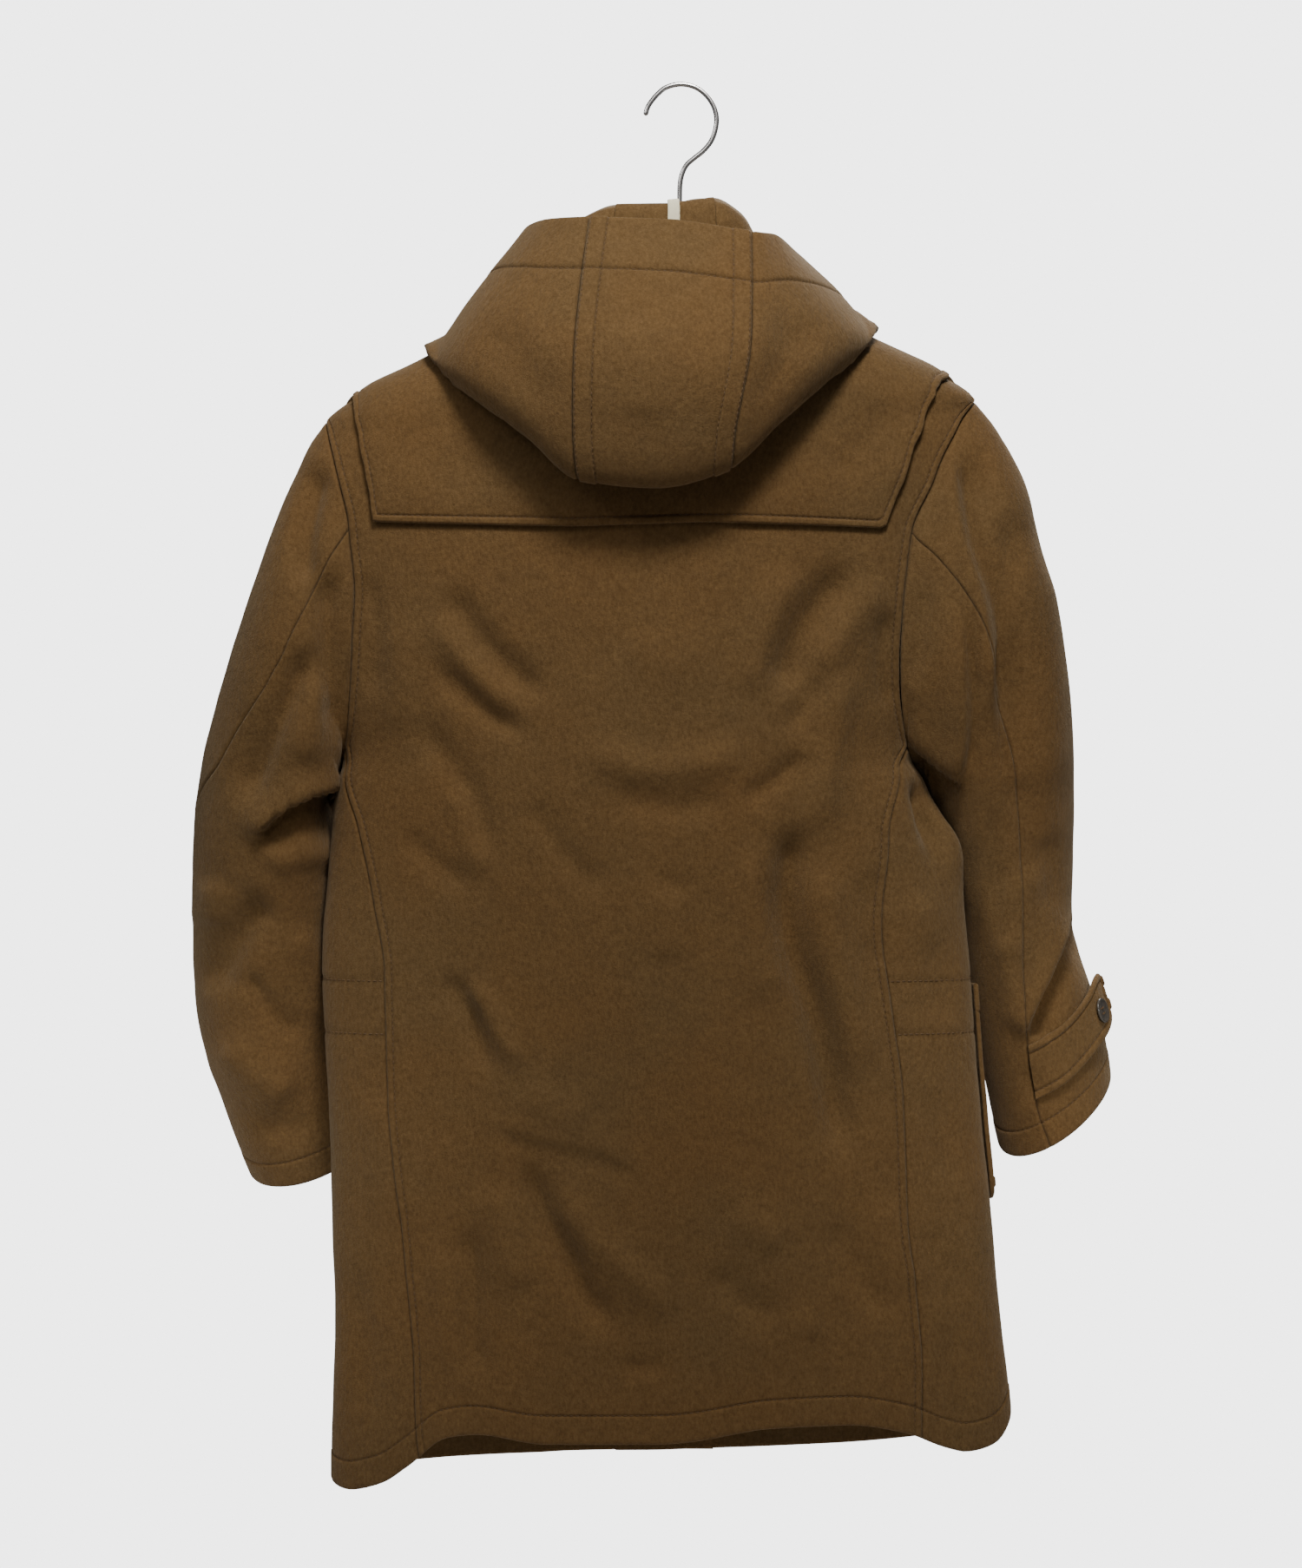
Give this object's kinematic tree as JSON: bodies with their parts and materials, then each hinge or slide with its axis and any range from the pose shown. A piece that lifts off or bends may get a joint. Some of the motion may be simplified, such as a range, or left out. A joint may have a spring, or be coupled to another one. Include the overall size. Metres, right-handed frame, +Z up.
{
  "type": "duffle coat on a hanger",
  "caption": "Thigh-length wool duffle coat with a lowered hood, shoulder yoke, toggle front, patch pockets and cuff tabs, hanging closed on a plain hanger with a chrome hook.",
  "frame": {"origin": "inside top of the hanger's hook, where a rail carries it", "axes": "+Z up, +Y towards the coat's back, +X towards the wearer's left sleeve"},
  "size_m": [0.7088, 0.2473, 1.0572],
  "materials": {
    "melton": "napped wool melton",
    "cream_tape": "woven tape",
    "toggle_horn": "polished horn look",
    "closure_cord": "twisted cord",
    "closure_patch": "smooth leather",
    "button": "satin",
    "hanger_plastic": "matt",
    "hook_chrome": "polished"
  },
  "bodies": {
    "root": {"back": "melton", "cuff_button_left": "button", "cuff_button_right": "button", "cuff_tab_left": "melton", "cuff_tab_right": "melton", "front_left": "melton", "front_right": "melton", "hanger": "hanger_plastic", "hood_centre": "melton", "hood_left": "melton", "hood_right": "melton", "hook": "hook_chrome", "loop_cord_1": "closure_cord", "loop_cord_2": "closure_cord", "loop_cord_3": "closure_cord", "loop_cord_4": "closure_cord", "loop_patch_1": "closure_patch", "loop_patch_2": "closure_patch", "loop_patch_3": "closure_patch", "loop_patch_4": "closure_patch", "neck_tape": "cream_tape", "pocket_left": "melton", "pocket_right": "melton", "side_left": "melton", "side_right": "melton", "sleeve_left_under": "melton", "sleeve_left_upper": "melton", "sleeve_right_under": "melton", "sleeve_right_upper": "melton", "toggle_1": "toggle_horn", "toggle_2": "toggle_horn", "toggle_3": "toggle_horn", "toggle_4": "toggle_horn", "toggle_cord_1": "closure_cord", "toggle_cord_2": "closure_cord", "toggle_cord_3": "closure_cord", "toggle_cord_4": "closure_cord", "toggle_patch_1": "closure_patch", "toggle_patch_2": "closure_patch", "toggle_patch_3": "closure_patch", "toggle_patch_4": "closure_patch", "yoke": "melton"}
  },
  "joints": []
}
